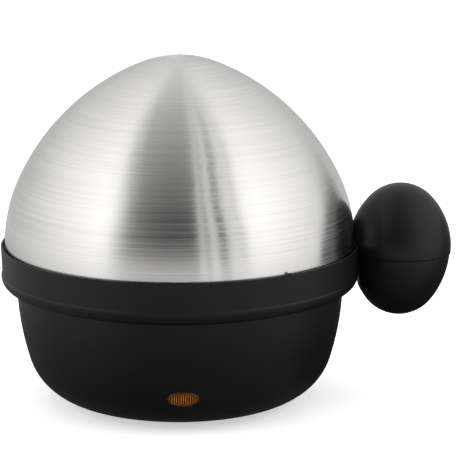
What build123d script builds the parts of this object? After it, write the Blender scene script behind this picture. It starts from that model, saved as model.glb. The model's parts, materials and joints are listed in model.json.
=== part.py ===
from build123d import *

import os
from math import atan2, cos, degrees, radians, sin, sqrt, tan

# An electric egg cooker in millimetres, +Z up. The origin is on the floor under the middle
# of the round base. The lamp is at the front, at -Y, and the egg-shaped handle is at +X.

# Base shell: a bowl whose wall is two tangent arcs, through the rim, the hip and the foot
foot_stand = 1.0
rim_height = 56.0
rim_radius = 78.6
rim_slope = 1.55
rim_round = 0.8
hip_height = 21.5
hip_inset = 5.6
foot_margin = 7.9
shell_wall = 2.2
foot_rim_width = 1.6
flange_thick = 2.0
flange_opening_inset = 6.5
ledge_thick = 2.2
ledge_fit = 0.7

# Bottom cover, its screws and the rubber feet
cover_thick = 2.2
cover_fit = 0.3
cover_boss_radius = 4.2
cover_boss_height = 9.0
cover_boss_roof = 1.0
vent_length = 20.0
vent_width = 2.4
vent_pitch = 6.0
vent_count = 5
vent_y = -14.0
foot_pad_radius = 4.5
foot_pad_depth = 1.2
foot_pad_fit = 0.1
foot_pad_round = 0.6
foot_pad_inset = 7.4
foot_angle = 35.0

# Screws: the small ones hold the cover, the bracket and the clamp ring
screw_fit = 0.05
screw_count = 3
cover_screw_first = 90.0
post_first = 30.0
small_shank_radius = 1.45
small_head_radius = 2.7
small_head_height = 1.1
pan_shank_radius = 1.75
pan_head_radius = 3.4
pan_head_height = 2.4
pan_head_depth = 1.6
cover_head_depth = 0.1
hole_fit = 0.3
drive_width = 0.8
drive_depth = 0.6
drive_share = 1.3
screw_tip_gap = 1.0

# Pan, its seal and its welded bushes
pan_thick = 0.8
pan_drop = 0.4
pan_flange_gap = 0.4
pan_flange_width = 6.0
pan_seat_width = 3.5
pan_seat_depth = 5.1
pan_depth = 17.0
pan_edge_bend = 1.5
pan_seat_bend = 1.2
pan_floor_bend = 6.0
seal_thick = 1.2
seal_width = 4.0
post_radius = 5.0
standoff_height = 13.8
standoff_radius = 3.6
standoff_roof = 1.8
pan_screw_reach = 9.0

# Heater, thermostat and fuse under the pan
heater_radius = 36.5
heater_thick = 6.0
heater_gap = 0.4
element_radius = 3.25
element_fit = 0.05
element_inset = 9.0
element_proud = 3.85
element_gap_angle = 60.0
element_leg_bend = 6.0
element_leg_length = 5.0
element_pin_radius = 1.2
element_pin_length = 8.0
thermostat_radius = 8.0
thermostat_height = 7.0
thermostat_cap_radius = 6.5
thermostat_cap_height = 2.0
strap_thick = 1.0
strap_width = 12.0
strap_clear = 7.0
strap_screw_offset = 4.0
strap_end_margin = 3.5
strap_screw_reach = 4.0
strap_screw_count = 2
strap_screw_first = 0.0
fuse_radius = 2.2
fuse_length = 16.0
fuse_y = 16.0
fuse_gap = 0.2

# Lid ring: the collar round the dome's foot
lid_gap = 0.3
ring_overhang = 7.4
ring_height = 20.3
ring_wall = 1.7
ring_floor = 4.0
ring_floor_width = 12.5
ring_corner = 5.6
crease_rise = 0.6
waist_inset = 0.5
lip_thick = 0.9
moat_depth = 2.6
lip_round = 0.3
nib_angle = -55.3
nib_width = 1.5
nib_rise = 0.7

# Dome: an arc at the shoulder, one up the flank, and a crown that closes on the axis
dome_fit = 0.2
dome_thick = 0.6
dome_foot_bend = 1.4
dome_flange_width = 6.5
shoulder_radius = 74.0
shoulder_turn = 25.45
flank_radius = 110.7
flank_turn = 42.75
steam_hole_radius = 2.0
steam_hole_rise = 64.4

# Clamp ring inside the dome's foot
clamp_height = 3.0
clamp_width = 6.6
clamp_fit = 0.1
clamp_screw_count = 6
clamp_screw_first = 30.0
clamp_screw_radius = 1.25
clamp_head_radius = 2.6
clamp_head_height = 1.9
clamp_head_depth = 0.3
clamp_screw_roof = 0.7
clamp_tip_gap = 0.3

# Hinge at the rear
hinge_reach = 6.5
hinge_rise = 10.0
knuckle_radius = 5.0
knuckle_width = 27.4
knuckle_gap = 0.3
ear_radius = 5.2
ear_thick = 6.0
ear_foot_drop = 22.0
ear_drop = 0.5
pin_radius = 2.0
pin_fit = 0.06
pin_head_radius = 3.4
pin_head_thick = 1.2
heel_length = 9.0
heel_half_height = 2.0
heel_width = 16.0
stop_gap = 0.3
stop_thick = 3.0
stop_clearance = 0.6
stop_height = 5.4
lid_open_angle = 76.0

# Egg-shaped handle: two shells screwed together round a tongue of the ring
egg_reach = 20.2
egg_drop = 3.1
egg_lean = 1.3
egg_radius = 24.8
egg_top = 30.9
egg_top_cap = 20.5
egg_bottom = 33.4
egg_bottom_cap = 20.0
egg_wall = 2.2
egg_step = 0.45
egg_parting = -2.2
saddle_gap = 0.2
tongue_width = 18.0
tongue_thick = 4.8
tongue_end = 8.5
tongue_fit = 0.2
handle_boss_radius = 5.6
handle_shank_radius = 1.75
handle_head_radius = 3.5
handle_head_height = 2.6
handle_seat_depth = 8.0
handle_screw_reach = 12.0

# Indicator lamp at the front
lens_drop = 2.9
lens_width = 14.8
lens_tall = 8.3
lens_proud = 0.6
lens_depth = 3.4
lens_flange = 1.2
lens_fit = 0.1
rib_count = 11
rib_pitch = 1.2
rib_width = 0.45
rib_depth = 0.55
holder_length = 8.4
bulb_radius = 2.6
bulb_length = 6.5
bulb_fit = 0.3
bulb_gap = 0.2

# Rocker switch at the rear right
switch_drop = 11.8
switch_angle = 50.0
bezel_lap = 1.3
bezel_fit = 0.15
bezel_proud = 0.3
bezel_corner = 1.2
pocket_depth = 1.2
pad_depth = 3.8
pad_border = 2.4
pad_lap = 0.1
switch_body_length = 18.8
switch_body_width = 12.8
switch_body_depth = 16.0
switch_cavity_depth = 9.0
switch_side_wall = 1.1
rocker_fit = 0.2
rocker_end_gap = 0.3
rocker_pivot_depth = 2.2
rocker_face = 2.0
rocker_below = 3.0
rocker_travel = 14.0
trunnion_radius = 1.2
trunnion_fit = 0.1
trunnion_reach = 0.8
blade_width = 4.8
blade_thick = 0.8
blade_length = 6.5
blade_spacing = 10.0

# Cord gland at the rear, and the terminal block on the bottom cover
gland_drop = 1.5
gland_boss_radius = 8.5
gland_boss_proud = 2.5
gland_boss_length = 9.5
gland_body_radius = 5.4
gland_fit = 0.05
gland_flange_radius = 7.4
gland_flange_thick = 2.0
gland_tail_radius = 6.6
gland_tail_thick = 1.5
gland_bore_radius = 3.5
gland_round = 0.8
block_length = 26.0
block_width = 12.0
block_height = 10.0
block_y = 12.0
block_hole_radius = 1.8
block_pole_pitch = 8.0
block_pole_count = 3

# Egg tray
tray_thick = 2.0
tray_gap = 0.2
tray_fit = 0.8
tray_rim_thick = 1.5
tray_rim_rise = 3.0
egg_hole_radius = 18.0
egg_hole_margin = 2.2
egg_hole_count = 6
egg_hole_first = 30.0
collar_thick = 1.5
collar_rise = 2.5
grip_inset = 9.2
grip_thick = 3.0
grip_width = 24.0
grip_height = 22.0
grip_corner = 6.0
grip_hole_width = 15.0
grip_hole_height = 10.0
grip_hole_rise = 8.0

# Places and sizes that follow from those above
hip_radius = rim_radius - hip_inset
screw_circle_radius = heater_radius + heater_gap + standoff_radius
foot_radius = screw_circle_radius + foot_margin
foot_circle_radius = foot_radius - foot_pad_inset
flange_opening_radius = screw_circle_radius - flange_opening_inset
flange_bottom = foot_stand + cover_thick
flange_top = flange_bottom + flange_thick
cover_boss_top = flange_bottom + cover_boss_height
cover_head_seat = foot_stand + cover_head_depth + small_head_height
pan_head_seat = flange_bottom + pan_head_depth + pan_head_height
pan_flange_radius = rim_radius - shell_wall - pan_flange_gap
pan_bore_radius = pan_flange_radius - pan_flange_width
pan_seat_radius = pan_bore_radius - pan_seat_width
pan_top = rim_height - pan_drop
seal_top = pan_top - pan_thick
ledge_top = seal_top - seal_thick
ledge_inner_radius = pan_bore_radius + pan_thick + ledge_fit
ledge_outer_radius = rim_radius - shell_wall / 2
pan_seat_top = pan_top - pan_seat_depth
pan_floor_top = pan_top - pan_depth
pan_floor_bottom = pan_floor_top - pan_thick
post_top = pan_floor_bottom - standoff_height
heater_bottom = pan_floor_bottom - heater_thick
element_ring_radius = heater_radius - element_inset
element_height = heater_bottom - element_proud + element_radius
strap_top = heater_bottom - thermostat_height
strap_step_x = thermostat_radius + strap_clear
strap_screw_x = strap_step_x + strap_screw_offset
strap_end_x = strap_screw_x + strap_end_margin
ring_radius = rim_radius + ring_overhang
ring_opening_radius = ring_radius - ring_floor_width
ring_bottom = rim_height + lid_gap
ring_top = ring_bottom + ring_height
ring_floor_top = ring_bottom + ring_floor
crease_height = ring_bottom + ring_corner + crease_rise
bore_radius = ring_radius - ring_wall
dome_radius = bore_radius - dome_fit
clamp_bottom = ring_floor_top + dome_thick
clamp_top = clamp_bottom + clamp_height
clamp_outer_radius = dome_radius - dome_foot_bend - clamp_fit
clamp_inner_radius = clamp_outer_radius - clamp_width
clamp_head_seat = ring_bottom + clamp_head_depth + clamp_head_height
hinge_y = ring_radius + hinge_reach
hinge_z = ring_bottom + hinge_rise
ear_foot_height = rim_height - ear_foot_drop
steam_hole_height = ring_top + steam_hole_rise
egg_x = ring_radius + egg_reach
egg_z = ring_top - egg_drop
ear_middle = knuckle_width / 2 + knuckle_gap + ear_thick / 2
ear_outer = ear_middle + ear_thick / 2
tray_bottom = pan_seat_top + tray_gap
tray_top = tray_bottom + tray_thick
tray_radius = pan_bore_radius - tray_fit
egg_hole_circle = tray_radius - tray_rim_thick - egg_hole_margin - collar_thick - egg_hole_radius
grip_x = tray_radius - grip_inset
lens_height = hip_height - lens_drop
switch_height = pan_floor_bottom - switch_drop
bezel_length = switch_body_length + 2 * bezel_lap
bezel_width = switch_body_width + 2 * bezel_lap
gland_height = hip_height - gland_drop
gland_boss_face = hip_radius + gland_boss_proud
gland_length = gland_flange_thick + gland_boss_length + gland_tail_thick
rocker_room_length = switch_body_length - 2 * switch_side_wall
rocker_room_width = switch_body_width - 2 * switch_side_wall
rocker_radius = rocker_room_length / 2 - rocker_end_gap
rocker_rise = rocker_radius * tan(radians(rocker_travel / 2))

# Places that repeat round the axis: radius of the circle, how many, first angle
cover_spots = (screw_circle_radius, screw_count, cover_screw_first)
post_spots = (screw_circle_radius, screw_count, post_first)
strap_spots = (strap_screw_x, strap_screw_count, strap_screw_first)
clamp_spots = ((clamp_outer_radius + clamp_inner_radius) / 2, clamp_screw_count, clamp_screw_first)
tray_spots = (egg_hole_circle, egg_hole_count, egg_hole_first)
foot_spots = [
    (foot_circle_radius * cos(radians(turn)), foot_circle_radius * sin(radians(turn)))
    for turn in (90 - foot_angle, 90 + foot_angle, 270 - foot_angle, 270 + foot_angle)
]


# The two arcs of the bowl's wall, as radius and height
rim_direction = (-sin(radians(rim_slope)), -cos(radians(rim_slope)))
upper_wall = TangentArc((rim_radius, rim_height), (hip_radius, hip_height), tangent=rim_direction)
lower_wall = TangentArc((hip_radius, hip_height), (foot_radius, foot_stand), tangent=upper_wall % 1)


def wall_plane(arc, height, azimuth):
    """The plane that lies on the bowl's wall at a height, with Z outwards and Y up the wall."""
    centre = arc.arc_center
    reach = sqrt(arc.radius**2 - (height - centre.Y) ** 2)
    radius = centre.X + reach
    tilt = atan2(height - centre.Y, reach)
    turn = radians(azimuth)
    outward = (cos(turn) * cos(tilt), sin(turn) * cos(tilt), sin(tilt))
    origin = (radius * cos(turn), radius * sin(turn), height)
    return Plane(origin=origin, x_dir=(-sin(turn), cos(turn), 0), z_dir=outward)


lamp_plane = wall_plane(lower_wall, lens_height, -90)
switch_plane = wall_plane(upper_wall, switch_height, switch_angle)
rocker_plane = Plane(
    origin=switch_plane.offset(-rocker_pivot_depth).origin,
    x_dir=switch_plane.x_dir,
    z_dir=-switch_plane.y_dir,
)
rocker_axis = Axis(rocker_plane.origin, rocker_plane.z_dir)
rocker_rest_plane = Plane(
    origin=rocker_plane.origin,
    x_dir=rocker_plane.x_dir.rotate(rocker_axis, -rocker_travel / 2),
    z_dir=rocker_plane.z_dir,
)

# The handle's frame: its axis leans a little, and X points away from the lid
egg_origin = (egg_x, 0, egg_z)
egg_outward = (cos(radians(egg_lean)), 0, -sin(radians(egg_lean)))
egg_upward = (sin(radians(egg_lean)), 0, cos(radians(egg_lean)))
egg_plane = Plane(origin=egg_origin, x_dir=egg_outward, z_dir=egg_upward)
egg_side_plane = Plane(origin=egg_origin, x_dir=egg_outward, z_dir=(0, -1, 0))
egg_axis = Axis(egg_origin, egg_upward)


def wall_arc(arc, low, high, inset):
    """A wall arc from its low to its high end, moved inwards by the inset."""
    centre = arc.arc_center
    first = degrees(atan2(low[1] - centre.Y, low[0] - centre.X))
    last = degrees(atan2(high[1] - centre.Y, high[0] - centre.X))
    return CenterArc((centre.X, centre.Y), arc.radius - inset, first, last - first)


def bowl_bulk(inset, mode=Mode.ADD):
    """The bowl with its wall moved inwards, filled, and carried straight up past the rim."""
    hip_point = (hip_radius, hip_height)
    over_rim = rim_height + shell_wall
    with BuildSketch(Plane.XZ) as outline:
        with BuildLine():
            low = wall_arc(lower_wall, (foot_radius, foot_stand), hip_point, inset)
            high = wall_arc(upper_wall, hip_point, (rim_radius, rim_height), inset)
            Polyline(high @ 1, ((high @ 1).X, over_rim), (0, over_rim), (0, (low @ 0).Y), low @ 0)
        make_face()
    revolve(outline.sketch, axis=Axis.Z, mode=mode)


def round_bars(bottom, top, radius, spots=(0, 1, 0), mode=Mode.ADD):
    """Upright cylinders between two heights, one on the axis or several round it."""
    with Locations((0, 0, bottom)):
        with PolarLocations(*spots):
            Cylinder(radius, top - bottom, align=(Align.CENTER, Align.CENTER, Align.MIN), mode=mode)


def screw_bars(head_bottom, head_radius, head_top, shank_radius, tip, spots):
    """Upright screws with their heads down and a cross recess in each head."""
    round_bars(head_bottom, head_top, head_radius, spots)
    round_bars(head_top, tip, shank_radius, spots)
    with Locations((0, 0, head_bottom)):
        with PolarLocations(*spots):
            for turn in (0, 90):
                Box(
                    drive_share * head_radius,
                    drive_width,
                    drive_depth,
                    rotation=(0, 0, turn),
                    align=(Align.CENTER, Align.CENTER, Align.MIN),
                    mode=Mode.SUBTRACT,
                )


def disc(plane, radius, height, mode=Mode.ADD):
    """A cylinder that starts on a plane and rises along its normal."""
    with BuildSketch(plane) as outline:
        Circle(radius)
    extrude(outline.sketch, amount=height, mode=mode)


def oval(plane, half_width, half_tall, height, mode=Mode.ADD):
    """An oval bar that starts on a plane and rises along its normal."""
    with BuildSketch(plane) as outline:
        Ellipse(half_width, half_tall)
    extrude(outline.sketch, amount=height, mode=mode)


def block(plane, length, width, height, mode=Mode.ADD):
    """A rectangular block that starts on a plane and rises along its normal."""
    with BuildSketch(plane) as outline:
        Rectangle(length, width)
    extrude(outline.sketch, amount=height, mode=mode)


# Base shell
with BuildPart() as base_shell:
    bowl_bulk(0)
    split(bisect_by=Plane.XY.offset(rim_height), keep=Keep.BOTTOM)
    fillet(base_shell.edges().filter_by(GeomType.CIRCLE).group_by(Axis.Z)[-1], rim_round)
    # Hinge ears, each on an arm down the back of the bowl
    for side in (-1, 1):
        with BuildSketch(Plane.YZ.offset(side * ear_middle)):
            with BuildLine():
                Polyline(
                    (hinge_y - ear_radius, hinge_z),
                    (hinge_y - ear_radius, rim_height - ear_drop),
                    (0, rim_height - ear_drop),
                    (0, ear_foot_height),
                    (hip_radius, ear_foot_height),
                    (hinge_y + ear_radius, rim_height),
                    (hinge_y + ear_radius, hinge_z),
                    close=True,
                )
            make_face()
            with Locations((hinge_y, hinge_z)):
                Circle(ear_radius)
        extrude(amount=ear_thick / 2, both=True)
    # The stop between the ears, which the lid's heel meets when the lid is open
    with BuildSketch(Plane.YZ):
        with Locations(Location((hinge_y, hinge_z, 0), (0, 0, -lid_open_angle))):
            with Locations((knuckle_radius + stop_clearance, -heel_half_height - stop_gap)):
                Rectangle(stop_height, stop_thick, align=(Align.MIN, Align.MAX))
    extrude(amount=ear_middle, both=True)
    with BuildSketch(Plane.YZ):
        with Locations((hinge_y, hinge_z)):
            Circle(pin_radius)
    extrude(amount=2 * ear_outer, both=True, mode=Mode.SUBTRACT)
    # The room inside, above the bottom flange
    with BuildPart(mode=Mode.PRIVATE) as bowl_room:
        bowl_bulk(shell_wall)
        split(bisect_by=Plane.XY.offset(flange_top), keep=Keep.TOP)
    add(bowl_room.part, mode=Mode.SUBTRACT)
    # The ledge under the pan's seal, sloping underneath
    with BuildSketch(Plane.XZ):
        with BuildLine():
            Polyline(
                (ledge_outer_radius, ledge_top),
                (ledge_inner_radius, ledge_top),
                (ledge_inner_radius, ledge_top - ledge_thick),
                (ledge_outer_radius, ledge_top - ledge_thick - ledge_outer_radius + ledge_inner_radius),
                close=True,
            )
        make_face()
    revolve(axis=Axis.Z)
    # Below: the cover's recess, the open middle, the cover's bosses and the pan's posts
    round_bars(foot_stand, flange_bottom, foot_radius - foot_rim_width, mode=Mode.SUBTRACT)
    round_bars(flange_bottom, flange_top, flange_opening_radius, mode=Mode.SUBTRACT)
    round_bars(flange_bottom, cover_boss_top, cover_boss_radius, cover_spots)
    round_bars(flange_bottom, post_top, post_radius, post_spots)
    cover_hole_top = cover_boss_top - cover_boss_roof
    round_bars(flange_bottom, cover_hole_top, small_shank_radius + screw_fit, cover_spots, Mode.SUBTRACT)
    round_bars(flange_bottom, post_top, pan_shank_radius + hole_fit, post_spots, Mode.SUBTRACT)
    round_bars(flange_bottom, pan_head_seat, pan_head_radius + hole_fit, post_spots, Mode.SUBTRACT)
    # The cord's boss at the rear
    gland_plane = Plane.XZ.offset(-gland_boss_face).shift_origin((0, gland_boss_face, gland_height))
    disc(gland_plane, gland_boss_radius, gland_boss_length)
    disc(gland_plane, gland_body_radius + gland_fit, gland_boss_length, Mode.SUBTRACT)
    # The lens's hole at the front
    oval(
        lamp_plane.offset(-lens_depth),
        lens_width / 2 + lens_fit,
        lens_tall / 2 + lens_fit,
        lens_depth + shell_wall,
        Mode.SUBTRACT,
    )
    # The switch's pad, pocket and hole
    block(
        switch_plane.offset(-pad_depth),
        bezel_length + 2 * pad_border,
        bezel_width + 2 * pad_border,
        pad_depth - shell_wall + pad_lap,
    )
    block(
        switch_plane.offset(-pocket_depth),
        bezel_length + 2 * bezel_fit,
        bezel_width + 2 * bezel_fit,
        pocket_depth + shell_wall,
        Mode.SUBTRACT,
    )
    block(
        switch_plane.offset(-pad_depth),
        switch_body_length + 2 * bezel_fit,
        switch_body_width + 2 * bezel_fit,
        pad_depth,
        Mode.SUBTRACT,
    )


# Bottom cover, its screws and the feet
with BuildPart() as bottom_cover:
    round_bars(foot_stand, flange_bottom, foot_radius - foot_rim_width - cover_fit)
    with Locations(*[(x, y, foot_stand) for x, y in foot_spots]):
        Cylinder(
            foot_pad_radius + foot_pad_fit,
            foot_pad_depth,
            align=(Align.CENTER, Align.CENTER, Align.MIN),
            mode=Mode.SUBTRACT,
        )
    round_bars(foot_stand, flange_bottom, small_shank_radius + hole_fit, cover_spots, Mode.SUBTRACT)
    round_bars(foot_stand, cover_head_seat, small_head_radius + hole_fit, cover_spots, Mode.SUBTRACT)
    with BuildSketch(Plane.XY.offset(foot_stand)):
        with Locations((0, vent_y)):
            with GridLocations(vent_pitch, vent_pitch, vent_count, 1):
                SlotOverall(vent_length, vent_width, rotation=90)
    extrude(amount=cover_thick, mode=Mode.SUBTRACT)

with BuildPart() as cover_screws:
    screw_bars(
        foot_stand + cover_head_depth,
        small_head_radius,
        cover_head_seat,
        small_shank_radius,
        cover_boss_top - cover_boss_roof - screw_tip_gap,
        cover_spots,
    )

with BuildPart() as rubber_feet:
    with Locations(*[(x, y, 0) for x, y in foot_spots]):
        Cylinder(
            foot_pad_radius, foot_stand + foot_pad_depth, align=(Align.CENTER, Align.CENTER, Align.MIN)
        )
    fillet(rubber_feet.edges().group_by(Axis.Z)[0], foot_pad_round)


def pan_line(step):
    """The pan's line from its flange to its middle, moved out of the pan by the step."""
    return FilletPolyline(
        (pan_flange_radius, pan_top - step),
        (pan_bore_radius + step, pan_top - step),
        (pan_bore_radius + step, pan_seat_top - step),
        (pan_seat_radius + step, pan_seat_top - step),
        (pan_seat_radius + step, pan_floor_top - step),
        (0, pan_floor_top - step),
        radius=[
            pan_edge_bend - step,
            pan_seat_bend + step,
            pan_seat_bend - step,
            pan_floor_bend + step,
        ],
    )


# Pan, seal, bushes and screws
with BuildPart() as pan:
    with BuildSketch(Plane.XZ):
        with BuildLine():
            inside = pan_line(0)
            outside = pan_line(pan_thick)
            Line(inside @ 0, outside @ 0)
            Line(inside @ 1, outside @ 1)
        make_face()
    revolve(axis=Axis.Z)

with BuildPart() as pan_seal:
    round_bars(ledge_top, seal_top, pan_flange_radius)
    round_bars(ledge_top, seal_top, pan_flange_radius - seal_width, mode=Mode.SUBTRACT)

with BuildPart() as pan_standoffs:
    round_bars(post_top, pan_floor_bottom, standoff_radius, post_spots)
    bush_hole_top = pan_floor_bottom - standoff_roof
    round_bars(post_top, bush_hole_top, pan_shank_radius + screw_fit, post_spots, Mode.SUBTRACT)

with BuildPart() as pan_screws:
    screw_bars(
        flange_bottom + pan_head_depth,
        pan_head_radius,
        pan_head_seat,
        pan_shank_radius,
        post_top + pan_screw_reach,
        post_spots,
    )


# The tubular element: most of a ring, with two legs that turn outwards at the rear
with BuildLine(Plane.XY.offset(element_height)) as element_path:
    loop = CenterArc((0, 0), element_ring_radius, 90 + element_gap_angle / 2, 360 - element_gap_angle)
    right_bend = JernArc(loop @ 1, loop % 1, element_leg_bend, -90)
    right_leg = Line(right_bend @ 1, right_bend @ 1 + element_leg_length * (right_bend % 1))
    left_bend = JernArc(loop @ 0, -(loop % 0), element_leg_bend, 90)
    left_leg = Line(left_bend @ 1, left_bend @ 1 + element_leg_length * (left_bend % 1))
element_wire = element_path.wire()
element_ends = [Plane(origin=leg @ 1, z_dir=leg % 1) for leg in (right_leg, left_leg)]

with BuildPart() as heating_element:
    with BuildSketch(Plane(origin=element_wire @ 0, z_dir=element_wire % 0)):
        Circle(element_radius)
    sweep(path=element_wire)

with BuildPart() as element_pins:
    for end_plane in element_ends:
        disc(end_plane, element_pin_radius, element_pin_length)

with BuildPart() as heater_disc:
    round_bars(heater_bottom, pan_floor_bottom, heater_radius)
    with BuildSketch(Plane(origin=element_wire @ 0, z_dir=element_wire % 0)):
        Circle(element_radius + element_fit)
    sweep(path=element_wire, mode=Mode.SUBTRACT)
    strap_hole_top = heater_bottom + strap_screw_reach + screw_fit
    round_bars(heater_bottom, strap_hole_top, small_shank_radius + screw_fit, strap_spots, Mode.SUBTRACT)

# Thermostat under the disc, on its strap, and the fuse beside it
with BuildPart() as thermostat:
    round_bars(strap_top, heater_bottom - thermostat_cap_height, thermostat_radius)
    round_bars(heater_bottom - thermostat_cap_height, heater_bottom, thermostat_cap_radius)

with BuildPart() as thermostat_bracket:
    with BuildSketch(Plane.XZ):
        with Locations((0, strap_top)):
            Rectangle(2 * strap_step_x, strap_thick, align=(Align.CENTER, Align.MAX))
        for side in (-1, 1):
            outer_end = Align.MAX if side > 0 else Align.MIN
            with Locations((side * strap_step_x, heater_bottom)):
                Rectangle(
                    strap_thick, heater_bottom - strap_top + strap_thick, align=(outer_end, Align.MAX)
                )
            with Locations((side * strap_end_x, heater_bottom)):
                Rectangle(
                    strap_end_x - strap_step_x + strap_thick, strap_thick, align=(outer_end, Align.MAX)
                )
    extrude(amount=strap_width / 2, both=True)
    strap_foot = heater_bottom - strap_thick
    round_bars(strap_foot, heater_bottom, small_shank_radius + hole_fit, strap_spots, Mode.SUBTRACT)

with BuildPart() as bracket_screws:
    screw_bars(
        strap_foot - small_head_height,
        small_head_radius,
        strap_foot,
        small_shank_radius,
        heater_bottom + strap_screw_reach,
        strap_spots,
    )

with BuildPart() as thermal_fuse:
    with BuildSketch(Plane.YZ):
        with Locations((fuse_y, heater_bottom - fuse_gap - fuse_radius)):
            Circle(fuse_radius)
    extrude(amount=fuse_length / 2, both=True)


# Lid ring
with BuildPart() as lid_ring:
    with BuildSketch(Plane.XZ):
        with BuildLine():
            corner = JernArc((ring_radius - ring_corner, ring_bottom), (1, 0), ring_corner, 90)
            Polyline(
                corner @ 1,
                (ring_radius, crease_height),
                (ring_radius - waist_inset, crease_height + waist_inset),
                (ring_radius, ring_top),
                (0, ring_top),
                (0, ring_bottom),
                corner @ 0,
            )
        make_face()
    revolve(axis=Axis.Z)
    # The hinge arm with its knuckle, the heel behind it and the pin's bore
    with BuildSketch(Plane.YZ):
        with Locations((hinge_y, hinge_z)):
            Circle(knuckle_radius)
            Rectangle(
                hinge_y - ring_opening_radius, 2 * knuckle_radius, align=(Align.MAX, Align.CENTER)
            )
    extrude(amount=knuckle_width / 2, both=True)
    with BuildSketch(Plane.YZ):
        with Locations((hinge_y, hinge_z)):
            Rectangle(heel_length, 2 * heel_half_height, align=(Align.MIN, Align.CENTER))
    extrude(amount=heel_width / 2, both=True)
    with BuildSketch(Plane.YZ):
        with Locations((hinge_y, hinge_z)):
            Circle(pin_radius + pin_fit)
    extrude(amount=knuckle_width, both=True, mode=Mode.SUBTRACT)
    # The tongue that the handle's shells clamp, with the handle screw's hole
    tongue_plane = egg_plane.offset(egg_parting - tongue_thick)
    with BuildSketch(tongue_plane):
        with Locations((tongue_end, 0)):
            Rectangle(
                tongue_end + egg_x - ring_opening_radius, tongue_width, align=(Align.MAX, Align.CENTER)
            )
    extrude(amount=tongue_thick)
    disc(tongue_plane, handle_shank_radius + hole_fit, tongue_thick, Mode.SUBTRACT)
    # The opening over the pan, the dome's bore and the step inside the lip
    round_bars(ring_bottom, ring_floor_top, ring_opening_radius, mode=Mode.SUBTRACT)
    round_bars(ring_floor_top, ring_top, bore_radius, mode=Mode.SUBTRACT)
    round_bars(ring_top - moat_depth, ring_top, ring_radius - lip_thick, mode=Mode.SUBTRACT)
    fillet(lid_ring.edges().filter_by(GeomType.CIRCLE).group_by(Axis.Z)[-1], lip_round)
    round_bars(ring_bottom, ring_floor_top, clamp_screw_radius + hole_fit, clamp_spots, Mode.SUBTRACT)
    round_bars(ring_bottom, clamp_head_seat, clamp_head_radius + hole_fit, clamp_spots, Mode.SUBTRACT)
    with PolarLocations(ring_radius - lip_thick / 2, 1, nib_angle):
        with Locations((0, 0, ring_top - nib_rise)):
            Box(lip_thick, nib_width, 2 * nib_rise, align=(Align.CENTER, Align.CENTER, Align.MIN))


def dome_line(inset):
    """The dome's line from its foot to its top, moved inwards, and its two ends."""
    foot = Line(
        (dome_radius - dome_flange_width, ring_floor_top + inset),
        (dome_radius - dome_foot_bend, ring_floor_top + inset),
    )
    bend = JernArc(foot @ 1, (1, 0), dome_foot_bend - inset, 90)
    wall = Line(bend @ 1, (dome_radius - inset, ring_top))
    shoulder = JernArc(wall @ 1, (0, 1), shoulder_radius - inset, shoulder_turn)
    flank = JernArc(shoulder @ 1, shoulder % 1, flank_radius - inset, flank_turn)
    crown_turn = 90 - shoulder_turn - flank_turn
    crown_radius = (flank @ 1).X / sin(radians(crown_turn))
    crown = JernArc(flank @ 1, flank % 1, crown_radius, crown_turn)
    return foot @ 0, crown @ 1


# Dome, and the ring and screws that hold it
with BuildPart() as lid_dome:
    with BuildSketch(Plane.XZ):
        with BuildLine():
            outer_foot, outer_top = dome_line(0)
            inner_foot, inner_top = dome_line(dome_thick)
            Line(outer_foot, inner_foot)
            Line(outer_top, inner_top)
        make_face()
    revolve(axis=Axis.Z)
    round_bars(ring_floor_top, clamp_bottom, clamp_screw_radius + hole_fit, clamp_spots, Mode.SUBTRACT)
    with BuildSketch(Plane.XZ):
        with Locations((0, steam_hole_height)):
            Circle(steam_hole_radius)
    extrude(amount=-dome_radius, mode=Mode.SUBTRACT)

with BuildPart() as dome_clamp_ring:
    round_bars(clamp_bottom, clamp_top, clamp_outer_radius)
    round_bars(clamp_bottom, clamp_top, clamp_inner_radius, mode=Mode.SUBTRACT)
    clamp_hole_top = clamp_top - clamp_screw_roof
    round_bars(clamp_bottom, clamp_hole_top, clamp_screw_radius + screw_fit, clamp_spots, Mode.SUBTRACT)

with BuildPart() as clamp_screws:
    screw_bars(
        ring_bottom + clamp_head_depth,
        clamp_head_radius,
        clamp_head_seat,
        clamp_screw_radius,
        clamp_hole_top - clamp_tip_gap,
        clamp_spots,
    )

with BuildPart() as hinge_pin:
    pin_start = Plane.YZ.offset(-ear_outer).shift_origin((-ear_outer, hinge_y, hinge_z))
    disc(pin_start, pin_radius, 2 * ear_outer)
    disc(pin_start.offset(2 * ear_outer), pin_head_radius, pin_head_thick)


def egg_side_radius(width, height, cap):
    """The radius of the side arc that leaves the egg's waist upright and meets its cap arc."""
    return (width**2 - cap**2 + (height - cap) ** 2) / (2 * (width - cap))


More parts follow.
